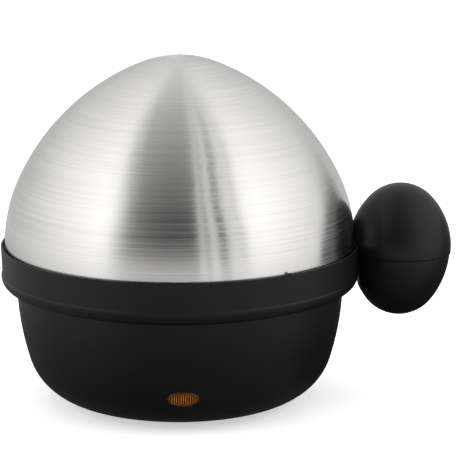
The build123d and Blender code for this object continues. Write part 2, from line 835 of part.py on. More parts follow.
def egg_body(width, inset):
    """The egg with its wall moved inwards, cut to fit round the lid ring and the dome over it."""
    low_side = egg_side_radius(width, egg_bottom, egg_bottom_cap)
    high_side = egg_side_radius(width, egg_top, egg_top_cap)
    low_turn = degrees(atan2(egg_bottom - egg_bottom_cap, low_side - width))
    high_turn = degrees(atan2(egg_top - egg_top_cap, high_side - width))
    low_centre = egg_bottom_cap - egg_bottom
    high_centre = egg_top - egg_top_cap
    with BuildPart() as body:
        with BuildSketch(egg_side_plane):
            with BuildLine():
                low_cap = CenterArc((0, low_centre), egg_bottom_cap - inset, -90, 90 - low_turn)
                CenterArc((width - low_side, 0), low_side - inset, -low_turn, low_turn)
                CenterArc((width - high_side, 0), high_side - inset, 0, high_turn)
                high_cap = CenterArc((0, high_centre), egg_top_cap - inset, high_turn, 90 - high_turn)
                Line(high_cap @ 1, low_cap @ 0)
            make_face()
        revolve(axis=egg_axis)
        saddle = saddle_gap + inset
        round_bars(0, ring_top + saddle, ring_radius + saddle, mode=Mode.SUBTRACT)
        with BuildSketch(Plane.XZ):
            with BuildLine():
                saddle_foot, saddle_top = dome_line(-saddle)
                Polyline(saddle_top, (0, saddle_foot.Y), saddle_foot)
            make_face()
        revolve(axis=Axis.Z, mode=Mode.SUBTRACT)
    return body.part


# Handle
with BuildPart() as handle_upper_shell:
    add(egg_body(egg_radius, 0))
    add(egg_body(egg_radius, egg_wall), mode=Mode.SUBTRACT)
    parting_plane = egg_plane.offset(egg_parting)
    disc(parting_plane, handle_boss_radius, egg_top - egg_wall / 2 - egg_parting)
    disc(
        parting_plane,
        handle_shank_radius + screw_fit,
        handle_screw_reach + screw_tip_gap,
        Mode.SUBTRACT,
    )
    split(bisect_by=parting_plane, keep=Keep.TOP)

with BuildPart() as handle_lower_shell:
    add(egg_body(egg_radius - egg_step, 0))
    add(egg_body(egg_radius - egg_step, egg_wall), mode=Mode.SUBTRACT)
    egg_foot_plane = egg_plane.offset(-egg_bottom)
    disc(
        egg_foot_plane.offset(egg_wall / 2),
        handle_boss_radius,
        egg_bottom - egg_wall / 2 + egg_parting - tongue_thick,
    )
    disc(egg_foot_plane, handle_shank_radius + hole_fit, egg_bottom, Mode.SUBTRACT)
    disc(egg_foot_plane, handle_head_radius + hole_fit, handle_seat_depth, Mode.SUBTRACT)
    # The tongue's way in through the saddle
    with BuildSketch(egg_plane.offset(egg_parting - tongue_thick - tongue_fit)):
        with Locations((ring_radius + saddle_gap + 1.5 * egg_wall - egg_x, 0)):
            Rectangle(egg_x, tongue_width + 2 * tongue_fit, align=(Align.MAX, Align.CENTER))
    extrude(amount=tongue_thick + tongue_fit, mode=Mode.SUBTRACT)
    split(bisect_by=parting_plane, keep=Keep.BOTTOM)

with BuildPart() as handle_screw:
    head_plane = egg_foot_plane.offset(handle_seat_depth - handle_head_height)
    disc(head_plane, handle_head_radius, handle_head_height)
    disc(
        egg_foot_plane.offset(handle_seat_depth),
        handle_shank_radius,
        egg_bottom - handle_seat_depth + egg_parting + handle_screw_reach,
    )
    with BuildSketch(head_plane):
        for turn in (0, 90):
            Rectangle(drive_share * handle_head_radius, drive_width, rotation=turn)
    extrude(amount=drive_depth, mode=Mode.SUBTRACT)


# Indicator lamp
with BuildPart() as lamp_lens:
    oval(lamp_plane.offset(-lens_depth), lens_width / 2, lens_tall / 2, lens_depth + 2 * lens_proud)
    bowl_bulk(-lens_proud, Mode.INTERSECT)
    with BuildSketch(lamp_plane.offset(lens_proud - rib_depth)):
        with GridLocations(rib_pitch, rib_pitch, rib_count, 1):
            Rectangle(rib_width, lens_tall)
    extrude(amount=2 * rib_depth, mode=Mode.SUBTRACT)
    lens_back = lamp_plane.offset(-lens_depth - lens_flange)
    oval(lens_back, lens_width / 2 + lens_flange, lens_tall / 2 + lens_flange, lens_flange)

with BuildPart() as lamp_holder:
    oval(lens_back, lens_width / 2 + lens_flange, lens_tall / 2 + lens_flange, -holder_length)
    disc(lens_back, bulb_radius + bulb_fit, -bulb_gap - bulb_length, Mode.SUBTRACT)

with BuildPart() as neon_lamp:
    disc(lens_back.offset(-bulb_gap), bulb_radius, -bulb_length)


# Switch
with BuildPart() as switch_housing:
    with BuildSketch(switch_plane.offset(-pocket_depth)):
        RectangleRounded(bezel_length, bezel_width, bezel_corner)
    extrude(amount=pocket_depth + bezel_proud)
    pocket_floor = switch_plane.offset(-pocket_depth)
    block(pocket_floor, switch_body_length, switch_body_width, pocket_depth - switch_body_depth)
    block(
        switch_plane.offset(-switch_cavity_depth),
        rocker_room_length,
        rocker_room_width,
        switch_cavity_depth + bezel_proud,
        Mode.SUBTRACT,
    )
    with BuildSketch(rocker_plane):
        Circle(trunnion_radius + trunnion_fit)
    extrude(amount=switch_body_width / 2, both=True, mode=Mode.SUBTRACT)

with BuildPart() as switch_rocker:
    with BuildSketch(rocker_rest_plane):
        with BuildLine():
            Polyline(
                (-rocker_radius, -rocker_below),
                (rocker_radius, -rocker_below),
                (rocker_radius, rocker_face + rocker_rise),
                (0, rocker_face),
                (-rocker_radius, rocker_face + rocker_rise),
                close=True,
            )
        make_face()
        Circle(rocker_radius, mode=Mode.INTERSECT)
    extrude(amount=rocker_room_width / 2 - rocker_fit, both=True)
    with BuildSketch(rocker_plane):
        Circle(trunnion_radius)
    extrude(amount=rocker_room_width / 2 + trunnion_reach, both=True)

with BuildPart() as switch_blades:
    with BuildSketch(switch_plane.offset(-switch_body_depth)):
        with GridLocations(blade_spacing, blade_spacing, 2, 1):
            Rectangle(blade_thick, blade_width)
    extrude(amount=-blade_length)


# Cord gland and terminal block
with BuildPart() as cord_gland:
    disc(gland_plane, gland_flange_radius, -gland_flange_thick)
    fillet(cord_gland.edges().group_by(Axis.Y)[-1], gland_round)
    disc(gland_plane, gland_body_radius, gland_boss_length)
    disc(gland_plane.offset(gland_boss_length), gland_tail_radius, gland_tail_thick)
    disc(gland_plane.offset(-gland_flange_thick), gland_bore_radius, gland_length, Mode.SUBTRACT)

with BuildPart() as terminal_block:
    with Locations((0, block_y, flange_bottom)):
        Box(block_length, block_width, block_height, align=(Align.CENTER, Align.CENTER, Align.MIN))
    with BuildSketch(Plane.XZ.offset(-block_y)):
        with Locations((0, flange_bottom + block_height / 2)):
            with GridLocations(block_pole_pitch, block_pole_pitch, block_pole_count, 1):
                Circle(block_hole_radius)
    extrude(amount=block_width / 2, both=True, mode=Mode.SUBTRACT)


# Egg tray
with BuildPart() as egg_tray:
    tray_rim_top = tray_top + tray_rim_rise
    collar_top = tray_top + collar_rise
    round_bars(tray_bottom, tray_rim_top, tray_radius)
    round_bars(tray_top, tray_rim_top, tray_radius - tray_rim_thick, mode=Mode.SUBTRACT)
    for spots in ((0, 1, 0), tray_spots):
        round_bars(tray_bottom, collar_top, egg_hole_radius + collar_thick, spots)
        round_bars(tray_bottom, collar_top, egg_hole_radius, spots, Mode.SUBTRACT)
    grip_tall = tray_thick + grip_height
    for side in (-1, 1):
        with BuildSketch(Plane.YZ.offset(side * grip_x)):
            with Locations((0, tray_bottom + grip_tall / 2)):
                RectangleRounded(grip_width, grip_tall, grip_corner)
                Rectangle(grip_width, grip_tall / 2, align=(Align.CENTER, Align.MAX))
            with Locations((0, tray_top + grip_hole_rise + grip_hole_height / 2)):
                SlotOverall(grip_hole_width, grip_hole_height, mode=Mode.SUBTRACT)
        extrude(amount=grip_thick / 2, both=True)


pieces = {
    "base_shell": base_shell,
    "bottom_cover": bottom_cover,
    "cover_screws": cover_screws,
    "rubber_feet": rubber_feet,
    "pan": pan,
    "pan_seal": pan_seal,
    "pan_standoffs": pan_standoffs,
    "pan_screws": pan_screws,
    "heater_disc": heater_disc,
    "heating_element": heating_element,
    "element_pins": element_pins,
    "thermostat": thermostat,
    "thermostat_bracket": thermostat_bracket,
    "bracket_screws": bracket_screws,
    "thermal_fuse": thermal_fuse,
    "lid_ring": lid_ring,
    "lid_dome": lid_dome,
    "dome_clamp_ring": dome_clamp_ring,
    "clamp_screws": clamp_screws,
    "hinge_pin": hinge_pin,
    "handle_upper_shell": handle_upper_shell,
    "handle_lower_shell": handle_lower_shell,
    "handle_screw": handle_screw,
    "lamp_lens": lamp_lens,
    "lamp_holder": lamp_holder,
    "neon_lamp": neon_lamp,
    "switch_housing": switch_housing,
    "switch_rocker": switch_rocker,
    "switch_blades": switch_blades,
    "cord_gland": cord_gland,
    "terminal_block": terminal_block,
    "egg_tray": egg_tray,
}

os.makedirs("parts", exist_ok=True)
for name, piece in pieces.items():
    piece.part.label = name
    export_step(piece.part, f"parts/{name}.step")
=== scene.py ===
import json
import math

import bpy
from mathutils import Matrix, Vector


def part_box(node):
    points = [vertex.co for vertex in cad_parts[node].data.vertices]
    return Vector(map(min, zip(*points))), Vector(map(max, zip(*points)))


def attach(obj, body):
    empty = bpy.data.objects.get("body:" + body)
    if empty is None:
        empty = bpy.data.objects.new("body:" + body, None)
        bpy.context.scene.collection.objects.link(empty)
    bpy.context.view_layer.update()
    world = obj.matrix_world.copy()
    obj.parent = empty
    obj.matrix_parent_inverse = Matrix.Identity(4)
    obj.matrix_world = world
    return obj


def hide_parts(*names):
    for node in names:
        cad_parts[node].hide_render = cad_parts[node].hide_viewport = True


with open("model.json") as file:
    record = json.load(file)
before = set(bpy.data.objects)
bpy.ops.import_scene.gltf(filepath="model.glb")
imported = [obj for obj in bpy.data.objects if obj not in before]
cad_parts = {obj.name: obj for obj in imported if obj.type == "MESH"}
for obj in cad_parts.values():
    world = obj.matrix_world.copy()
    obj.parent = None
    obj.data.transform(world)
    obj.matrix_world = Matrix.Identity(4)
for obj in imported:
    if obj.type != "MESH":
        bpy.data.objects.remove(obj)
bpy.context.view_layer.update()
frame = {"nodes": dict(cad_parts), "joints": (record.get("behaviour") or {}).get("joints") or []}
print("frame loaded:", len(frame["nodes"]), "nodes")

scene = bpy.context.scene
scene.view_settings.view_transform = "Standard"


def hexColour(code):
    channels = [int(code[i:i + 2], 16) / 255 for i in (0, 2, 4)]
    linear = [c / 12.92 if c <= 0.04045 else ((c + 0.055) / 1.055) ** 2.4 for c in channels]
    return (*linear, 1.0)


def addNode(tree, kind, settings=None, inputs=None, **links):
    node = tree.nodes.new(kind)
    for name, value in (settings or {}).items():
        setattr(node, name, value)
    for name, value in (inputs or {}).items():
        node.inputs[name].default_value = value
    for name, source in links.items():
        key = int(name[1:]) if name[0] == "i" and name[1:].isdigit() else name.replace("_", " ")
        tree.links.new(source, node.inputs[key])
    return node


def newMaterial(name):
    material = bpy.data.materials.new(name)
    material.use_nodes = True
    tree = material.node_tree
    tree.nodes.clear()
    shader = addNode(tree, "ShaderNodeBsdfPrincipled")
    addNode(tree, "ShaderNodeOutputMaterial", Surface=shader.outputs[0])
    return material, tree, shader


def meshPiece(name, verts, faces, *materials):
    mesh = bpy.data.meshes.new(name)
    mesh.from_pydata(verts, [], faces)
    mesh.update()
    for material in materials:
        mesh.materials.append(material)
    obj = bpy.data.objects.new(name, mesh)
    scene.collection.objects.link(obj)
    return obj


# Camera: a long lens from a little above, as the photograph was taken
camera = {
    "lens": 190.9,  # mm on a 36 mm sensor
    "place": (-0.0205, -1.1710, 0.3424),
    "target": (0.02649, -0.00106, 0.07977),
}
cameraData = bpy.data.cameras.new("camera")
cameraData.lens = camera["lens"]
cameraData.sensor_width = 36.0
cameraObject = bpy.data.objects.new("camera", cameraData)
scene.collection.objects.link(cameraObject)
cameraObject.location = camera["place"]
look = Vector(camera["target"]) - Vector(camera["place"])
cameraObject.rotation_euler = look.to_track_quat("-Z", "Y").to_euler()
scene.camera = cameraObject
print("camera placed")

# Studio: white paper underfoot, soft boxes at both sides and overhead
studio = {
    "paper": "F4F4F4",
    "paperRoughness": 0.9,
    "paperReach": 6.0,  # m from the middle to each edge
    "liftedWhite": 0.5,  # added to what the eye sees of the paper, to keep it white past the shadow
    "worldLight": 0.7,
    "sideBoxes": {"leftSoftBox": (-1.25, -0.35, 0.62), "rightSoftBox": (1.25, -0.30, 0.62)},
    "sideSize": (1.1, 1.2),
    "sideWatts": 9.0,
    "topBox": (0.0, 0.1, 1.5),
    "topSize": (1.6, 1.4),
    "topWatts": 10.0,
    "aim": (0.0, 0.0, 0.09),
}


# A share of light that only the eye gets, straight or by way of a mirror or glass
def addSeenShare(tree, share):
    path = addNode(tree, "ShaderNodeLightPath")
    eye = addNode(
        tree, "ShaderNodeMath", {"operation": "MAXIMUM"},
        i0=path.outputs["Is Camera Ray"], i1=path.outputs["Is Glossy Ray"],
    )
    seen = addNode(
        tree, "ShaderNodeMath", {"operation": "MAXIMUM"},
        i0=eye.outputs[0], i1=path.outputs["Is Transmission Ray"],
    )
    return addNode(tree, "ShaderNodeMath", {"operation": "MULTIPLY"}, {1: share}, i0=seen.outputs[0])


world = bpy.data.worlds.new("studio")
scene.world = world
world.use_nodes = True
worldTree = world.node_tree
worldTree.nodes.clear()
seenShare = addSeenShare(worldTree, 1.0)
strength = addNode(
    worldTree, "ShaderNodeMapRange", {},
    {"To Min": studio["worldLight"], "To Max": 1.0}, Value=seenShare.outputs[0],
)
sky = addNode(worldTree, "ShaderNodeBackground", Strength=strength.outputs[0])
addNode(worldTree, "ShaderNodeOutputWorld", Surface=sky.outputs[0])

# Matt studio paper: white to the eye, and grey only where the object shades it
paper, tree, shader = newMaterial("whiteStudioPaper")
shader.inputs["Base Color"].default_value = hexColour(studio["paper"])
shader.inputs["Roughness"].default_value = studio["paperRoughness"]
seenShare = addSeenShare(tree, studio["liftedWhite"])
shader.inputs["Emission Color"].default_value = (1.0, 1.0, 1.0, 1.0)
tree.links.new(seenShare.outputs[0], shader.inputs["Emission Strength"])
edge = studio["paperReach"]
corners = [(-edge, -edge, 0), (edge, -edge, 0), (edge, edge, 0), (-edge, edge, 0)]
floor = meshPiece("floor", corners, [(0, 1, 2, 3)], paper)


def softBox(name, place, size, watts):
    data = bpy.data.lights.new(name, "AREA")
    data.shape = "RECTANGLE"
    data.size, data.size_y = size
    data.energy = watts
    obj = bpy.data.objects.new(name, data)
    scene.collection.objects.link(obj)
    obj.location = place
    towards = Vector(studio["aim"]) - Vector(place)
    obj.rotation_euler = towards.to_track_quat("-Z", "Y").to_euler()
    obj.visible_glossy = False  # the tent is what shines in metal


for name, place in studio["sideBoxes"].items():
    softBox(name, place, studio["sideSize"], studio["sideWatts"])
softBox("topSoftBox", studio["topBox"], studio["topSize"], studio["topWatts"])

# The tent: a dome of cloth and card round the object, seen only where it shines in it. Its glow goes by
# the way that one looks from the object: dim towards the front and overhead, bright towards both sides
tent = {
    "radius": 2.4,  # m
    "middle": 0.08,  # m above the paper
    "innerRadius": 0.004,  # m, where the tent's floor begins
    "floorHeight": 0.0015,  # m, just over the paper
    "steps": 72,  # round it
    "climbs": 18,  # up its wall
    "climbStep": 5,  # degrees
    "frontWidth": 0.835,  # the dim front's half width, as a share of the way forwards
    "roofWidth": (0.33, 0.52),  # the same overhead, as shares of the way up and of the way forwards
    "narrowest": 0.03,  # towards the back, where the dim front has no width
    "dimSpan": (-0.95, 0.5),  # the way backwards at the front, and just behind the top
    "dimGlow": (0.05, 0.85),  # the dim part's glow at these
    "sideSpan": (-1.0, 1.0),  # the way backwards at the front, and at the back
    "sideGlow": (1.92, 0.66),  # the sides' glow at these
    "farFloor": (0.15, -0.12, 0.85),  # the way up where it begins and is full, and its glow in the dim part
    "lowSides": (0.45, 0.05, 0.82),  # the same for the sides, and the share of their glow that they keep
    "nearFloorShadow": (0.1, 0.5, 0.07),  # painted shadow of the object on the tent's floor: m to where it begins and ends, and its share of the glow
    # A black flag stands low behind the handle, so that the dome mirrors dark beside it: a painted
    # reflection that deepens the handle's own mirror image and shadow on the dome. Given here: where its
    # edges begin and where it is full, to the right, to the back (further back the higher it is) and
    # upwards
    "flag": ((0.55, 0.75), (0.2, 0.28), (0.26, 0.1)),
    "flagLean": 1.1,
    "flagShare": 0.14,  # what it leaves of the glow
    # Edges of the cards that narrow the bright sides, in half widths of the dim front, and the share of
    # the side's glow that they leave
    "cards": (
        (-1.8, 1.0), (-1.38, 0.86), (-1.1, 0.42), (-0.9, 0.14), (-0.7, 0.04), (-0.3, 0.0), (0.18, 0.0),
        (0.23, 0.06), (0.26, 0.4), (0.335, 0.42), (0.345, 0.0), (0.39, 0.0), (0.4, 0.5), (0.52, 0.48),
        (0.55, 0.04), (0.68, 0.04), (0.71, 0.5), (0.98, 0.52), (1.02, 0.3), (1.08, 0.64), (1.3, 0.9),
        (1.8, 1.0),
    ),
}
tentCloth, tree, shader = newMaterial("tentCloth")
tree.nodes.remove(shader)
place = addNode(tree, "ShaderNodeTexCoord")
fromMiddle = addNode(
    tree, "ShaderNodeVectorMath", {"operation": "SUBTRACT"}, {1: (0.0, 0.0, tent["middle"])},
    i0=place.outputs["Object"],
)
way = addNode(tree, "ShaderNodeVectorMath", {"operation": "NORMALIZE"}, i0=fromMiddle.outputs[0])
reach = addNode(tree, "ShaderNodeVectorMath", {"operation": "LENGTH"}, i0=fromMiddle.outputs[0])
axes = addNode(tree, "ShaderNodeSeparateXYZ", Vector=way.outputs[0])
front = addNode(
    tree, "ShaderNodeMath", {"operation": "MULTIPLY"}, {1: -tent["frontWidth"]}, i0=axes.outputs["Y"]
)
upShare = addNode(
    tree, "ShaderNodeMath", {"operation": "MULTIPLY"}, {1: tent["roofWidth"][0]}, i0=axes.outputs["Z"]
)
roof = addNode(
    tree, "ShaderNodeMath", {"operation": "MULTIPLY_ADD"}, {1: -tent["roofWidth"][1]},
    i0=axes.outputs["Y"], i2=upShare.outputs[0],
)
wide = addNode(tree, "ShaderNodeMath", {"operation": "MAXIMUM"}, i0=front.outputs[0], i1=roof.outputs[0])
safeWide = addNode(
    tree, "ShaderNodeMath", {"operation": "MAXIMUM"}, {1: tent["narrowest"]}, i0=wide.outputs[0]
)
across = addNode(
    tree, "ShaderNodeMath", {"operation": "DIVIDE"}, i0=axes.outputs["X"], i1=safeWide.outputs[0]
)
edge = tent["cards"][-1][0]
along = addNode(
    tree, "ShaderNodeMapRange", {}, {"From Min": -edge, "From Max": edge}, Value=across.outputs[0]
)
cards = addNode(tree, "ShaderNodeValToRGB", Fac=along.outputs[0])
stops = cards.color_ramp.elements
while len(stops) < len(tent["cards"]):
    stops.new(1.0)
for stop, (at, _) in zip(stops, tent["cards"]):
    stop.position = (at + edge) / (2 * edge)
for stop, (_, share) in zip(stops, tent["cards"]):  # a round of its own, once every stop has its place
    stop.color = (share, share, share, 1.0)
dim, side = (
    addNode(
        tree, "ShaderNodeMapRange", {},
        {"From Min": first, "From Max": last, "To Min": low, "To Max": high}, Value=axes.outputs["Y"],
    )
    for (first, last), (low, high) in (
        (tent["dimSpan"], tent["dimGlow"]), (tent["sideSpan"], tent["sideGlow"]),
    )
)
high, low, share = tent["farFloor"]
farFloor = addNode(
    tree, "ShaderNodeMapRange", {}, {"From Min": high, "From Max": low, "To Max": share},
    Value=axes.outputs["Z"],
)
high, low, share = tent["lowSides"]
lowSides = addNode(
    tree, "ShaderNodeMapRange", {}, {"From Min": high, "From Max": low, "To Min": 1.0, "To Max": share},
    Value=axes.outputs["Z"],
)
sideAll = addNode(
    tree, "ShaderNodeMath", {"operation": "MULTIPLY"}, i0=side.outputs[0], i1=lowSides.outputs[0]
)
dimAll = addNode(tree, "ShaderNodeMath", {"operation": "ADD"}, i0=dim.outputs[0], i1=farFloor.outputs[0])
glow = addNode(
    tree, "ShaderNodeMix", {}, Factor=cards.outputs["Color"], i2=dimAll.outputs[0], i3=sideAll.outputs[0]
)
# Painted shadow: near the object the tent's floor glows less, standing in for the object's shadow on the
# paper where the metal and plastic mirror it
begin, end, share = tent["nearFloorShadow"]
near = addNode(
    tree, "ShaderNodeMapRange", {}, {"From Min": begin, "From Max": end, "To Min": share},
    Value=reach.outputs["Value"],
)
# painted reflection: the flag dims the tent behind the handle, so the dome mirrors dark beside it
leaning = addNode(
    tree, "ShaderNodeMath", {"operation": "MULTIPLY_ADD"}, {1: -tent["flagLean"]},
    i0=axes.outputs["Z"], i2=axes.outputs["Y"],
)
flagEdges = [
    addNode(tree, "ShaderNodeMapRange", {}, {"From Min": first, "From Max": last}, Value=source)
    for (first, last), source in zip(
        tent["flag"], (axes.outputs["X"], leaning.outputs[0], axes.outputs["Z"])
    )
]
flagWide = addNode(
    tree, "ShaderNodeMath", {"operation": "MULTIPLY"},
    i0=flagEdges[0].outputs[0], i1=flagEdges[1].outputs[0],
)
flagAll = addNode(
    tree, "ShaderNodeMath", {"operation": "MULTIPLY"}, i0=flagWide.outputs[0], i1=flagEdges[2].outputs[0]
)
pastFlag = addNode(
    tree, "ShaderNodeMapRange", {}, {"To Min": 1.0, "To Max": tent["flagShare"]}, Value=flagAll.outputs[0]
)
flagged = addNode(
    tree, "ShaderNodeMath", {"operation": "MULTIPLY"}, i0=glow.outputs[0], i1=pastFlag.outputs[0]
)
level = addNode(
    tree, "ShaderNodeMath", {"operation": "MULTIPLY"}, i0=flagged.outputs[0], i1=near.outputs[0]
)
light = addNode(tree, "ShaderNodeEmission", Strength=level.outputs[0])
output = next(node for node in tree.nodes if node.type == "OUTPUT_MATERIAL")
tree.links.new(light.outputs[0], output.inputs["Surface"])

steps = tent["steps"]
turns = [2 * math.pi * i / steps for i in range(steps)]
climbs = [math.radians(tent["climbStep"] * i) for i in range(tent["climbs"])]
line = [(tent["innerRadius"], tent["floorHeight"]), (tent["radius"], tent["floorHeight"])]
line += [
    (tent["radius"] * math.cos(c), tent["middle"] + tent["radius"] * math.sin(c)) for c in climbs
]
verts = [(r * math.sin(t), -r * math.cos(t), z) for r, z in line for t in turns]
verts.append((0.0, 0.0, tent["middle"] + tent["radius"]))
faces = [
    (k * steps + i, k * steps + (i + 1) % steps, (k + 1) * steps + (i + 1) % steps, (k + 1) * steps + i)
    for k in range(len(line) - 1) for i in range(steps)
]
last = (len(line) - 1) * steps
faces += [(last + i, last + (i + 1) % steps, len(verts) - 1) for i in range(steps)]
tentDome = meshPiece("tent", verts, faces, tentCloth)
tentDome.visible_camera = tentDome.visible_diffuse = tentDome.visible_shadow = False
print("studio lit")


# Between which strengths of a noise a finish goes from its first look to its second
noiseSpans = {"moulded": (0.35, 0.65), "marked": (0.3, 0.7), "ringed": (0.36, 0.64)}
# How near a rounded normal is to the flat one where rubbing begins, and where it is full
rubbedTurn = (0.99, 0.9)


# Moulded plastic and rubber: the tool's grain, a slow change of gloss, and edges rubbed a little smoother
def mouldedFinish(name, look):
    low, high = noiseSpans["moulded"]
    material, tree, shader = newMaterial(name)
    place = addNode(tree, "ShaderNodeTexCoord")
    cloud = addNode(
        tree, "ShaderNodeTexNoise", {}, {"Scale": 1000 / look["cloudMm"], "Detail": 3.0},
        Vector=place.outputs["Object"],
    )
    grain = addNode(
        tree, "ShaderNodeTexNoise", {}, {"Scale": 1000 / look["grainMm"], "Detail": 2.0},
        Vector=place.outputs["Object"],
    )
    tone = addNode(
        tree, "ShaderNodeMapRange", {}, {"From Min": low, "From Max": high}, Value=cloud.outputs["Fac"]
    )
    colour = addNode(
        tree, "ShaderNodeMix", {"data_type": "RGBA"},
        {6: hexColour(look["colours"][0]), 7: hexColour(look["colours"][1])}, Factor=tone.outputs[0],
    )
    rounded = addNode(tree, "ShaderNodeBevel", {"samples": 4}, {"Radius": look["edgeMm"] / 1000})
    shape = addNode(tree, "ShaderNodeNewGeometry")
    turn = addNode(
        tree, "ShaderNodeVectorMath", {"operation": "DOT_PRODUCT"},
        i0=rounded.outputs[0], i1=shape.outputs["Normal"],
    )
    edge = addNode(
        tree, "ShaderNodeMapRange", {}, {"From Min": rubbedTurn[0], "From Max": rubbedTurn[1]},
        Value=turn.outputs["Value"],
    )
    gloss = addNode(
        tree, "ShaderNodeMapRange", {},
        {"From Min": low, "From Max": high, "To Min": look["rough"][0], "To Max": look["rough"][1]},
        Value=cloud.outputs["Fac"],
    )
    rubbed = addNode(
        tree, "ShaderNodeMix", {}, {3: look["rubbed"]}, Factor=edge.outputs[0], i2=gloss.outputs[0]
    )
    bump = addNode(
        tree, "ShaderNodeBump", {}, {"Strength": 1.0, "Distance": look["grainDepthMm"] / 1000},
        Height=grain.outputs["Fac"], Normal=rounded.outputs[0],
    )
    shader.inputs["IOR"].default_value = look["ior"]
    tree.links.new(colour.outputs[2], shader.inputs["Base Color"])
    tree.links.new(rubbed.outputs[0], shader.inputs["Roughness"])
    tree.links.new(bump.outputs[0], shader.inputs["Normal"])
    for socket, value in look.get("also", {}).items():
        shader.inputs[socket].default_value = value
    return material


# Metal: streaks or pits of a stated size in mm along each axis, in tone, gloss and height
def metalFinish(name, look):
    low, high = noiseSpans["marked"]
    material, tree, shader = newMaterial(name)
    place = addNode(tree, "ShaderNodeTexCoord")
    stretch = addNode(
        tree, "ShaderNodeMapping", {}, {"Scale": [1000 / size for size in look["markMm"]]},
        Vector=place.outputs["Object"],
    )
    marks = addNode(
        tree, "ShaderNodeTexNoise", {}, {"Scale": 1.0, "Detail": 4.0, "Roughness": 0.6},
        Vector=stretch.outputs[0],
    )
    tone = addNode(
        tree, "ShaderNodeMapRange", {}, {"From Min": low, "From Max": high}, Value=marks.outputs["Fac"]
    )
    colour = addNode(
        tree, "ShaderNodeMix", {"data_type": "RGBA"},
        {6: hexColour(look["colours"][0]), 7: hexColour(look["colours"][1])}, Factor=tone.outputs[0],
    )
    gloss = addNode(
        tree, "ShaderNodeMapRange", {},
        {"From Min": low, "From Max": high, "To Min": look["rough"][0], "To Max": look["rough"][1]},
        Value=marks.outputs["Fac"],
    )
    rounded = addNode(tree, "ShaderNodeBevel", {"samples": 4}, {"Radius": look["edgeMm"] / 1000})
    bump = addNode(
        tree, "ShaderNodeBump", {}, {"Strength": 1.0, "Distance": look["markDepthMm"] / 1000},
        Height=marks.outputs["Fac"], Normal=rounded.outputs[0],
    )
    shader.inputs["Metallic"].default_value = 1.0
    tree.links.new(colour.outputs[2], shader.inputs["Base Color"])
    tree.links.new(gloss.outputs[0], shader.inputs["Roughness"])
    tree.links.new(bump.outputs[0], shader.inputs["Normal"])
    return material


# Stainless steel worked round the upright axis: fine rings, and a gloss drawn out across them
def ringedSteel(name, look):
    low, high = noiseSpans["ringed"]
    material, tree, shader = newMaterial(name)
    place = addNode(tree, "ShaderNodeTexCoord")
    axes = addNode(tree, "ShaderNodeSeparateXYZ", Vector=place.outputs["Object"])
    flat = addNode(tree, "ShaderNodeCombineXYZ", X=axes.outputs["X"], Y=axes.outputs["Y"])
    reach = addNode(tree, "ShaderNodeVectorMath", {"operation": "LENGTH"}, i0=flat.outputs[0])
    heading = addNode(tree, "ShaderNodeVectorMath", {"operation": "NORMALIZE"}, i0=flat.outputs[0])
    bearing = addNode(tree, "ShaderNodeSeparateXYZ", Vector=heading.outputs[0])
    rise = addNode(
        tree, "ShaderNodeMath", {"operation": "SUBTRACT"}, {1: look["centreMm"] / 1000},
        i0=axes.outputs["Z"],
    )
    climb = addNode(  # the same all along a ring, seen from a centre on the axis
        tree, "ShaderNodeMath", {"operation": "ARCTAN2"}, i0=rise.outputs[0], i1=reach.outputs["Value"]
    )
    rings = addNode(
        tree, "ShaderNodeCombineXYZ", X=bearing.outputs["X"], Y=bearing.outputs["Y"], Z=climb.outputs[0]
    )
    layers = []
    for lineMm, lengthMm in look["lines"]:
        along, across = look["radiusMm"] / lengthMm, look["radiusMm"] / lineMm
        stretch = addNode(
            tree, "ShaderNodeMapping", {}, {"Scale": (along, along, across)}, Vector=rings.outputs[0]
        )
        layers.append(addNode(
            tree, "ShaderNodeTexNoise", {}, {"Scale": 1.0, "Detail": 3.0, "Roughness": 0.6},
            Vector=stretch.outputs[0],
        ))
    fine, coarse = layers
    lines = addNode(
        tree, "ShaderNodeMix", {}, {"Factor": 0.4}, i2=fine.outputs["Fac"], i3=coarse.outputs["Fac"]
    )
    tone = addNode(
        tree, "ShaderNodeMapRange", {}, {"From Min": low, "From Max": high}, Value=lines.outputs[0]
    )
    colour = addNode(
        tree, "ShaderNodeMix", {"data_type": "RGBA"},
        {6: hexColour(look["colours"][0]), 7: hexColour(look["colours"][1])}, Factor=tone.outputs[0],
    )
    gloss = addNode(
        tree, "ShaderNodeMapRange", {},
        {"From Min": low, "From Max": high, "To Min": look["rough"][0], "To Max": look["rough"][1]},
        Value=lines.outputs[0],
    )
    bump = addNode(
        tree, "ShaderNodeBump", {}, {"Strength": 1.0, "Distance": look["lineDepthMm"] / 1000},
        Height=lines.outputs[0],
    )
    around = addNode(tree, "ShaderNodeTangent", {"direction_type": "RADIAL", "axis": "Z"})
    shader.inputs["Metallic"].default_value = 1.0
    shader.inputs["Anisotropic"].default_value = look["drawnOut"]
    shader.inputs["Anisotropic Rotation"].default_value = 0.25  # a quarter turn, so up and down
    tree.links.new(colour.outputs[2], shader.inputs["Base Color"])
    tree.links.new(gloss.outputs[0], shader.inputs["Roughness"])
    tree.links.new(bump.outputs[0], shader.inputs["Normal"])
    tree.links.new(around.outputs[0], shader.inputs["Tangent"])
    return material


def dress(material, *nodes):
    for node in nodes:
        mesh = frame["nodes"][node].data
        mesh.materials.clear()
        mesh.materials.append(material)


# Polypropylene from a fine spark-eroded mould: near-black, with a soft satin sheen
blackCasing = mouldedFinish("mouldedBlackPolypropylene", {
    "colours": ("0D0D0E", "101011"), "rough": (0.36, 0.42), "rubbed": 0.3, "ior": 1.49,
    "cloudMm": 40, "grainMm": 0.5, "grainDepthMm": 0.006, "edgeMm": 0.35,
    "also": {"Specular IOR Level": 0.25},
})
dress(blackCasing, "base_shell", "lid_ring", "bottom_cover", "dome_clamp_ring")

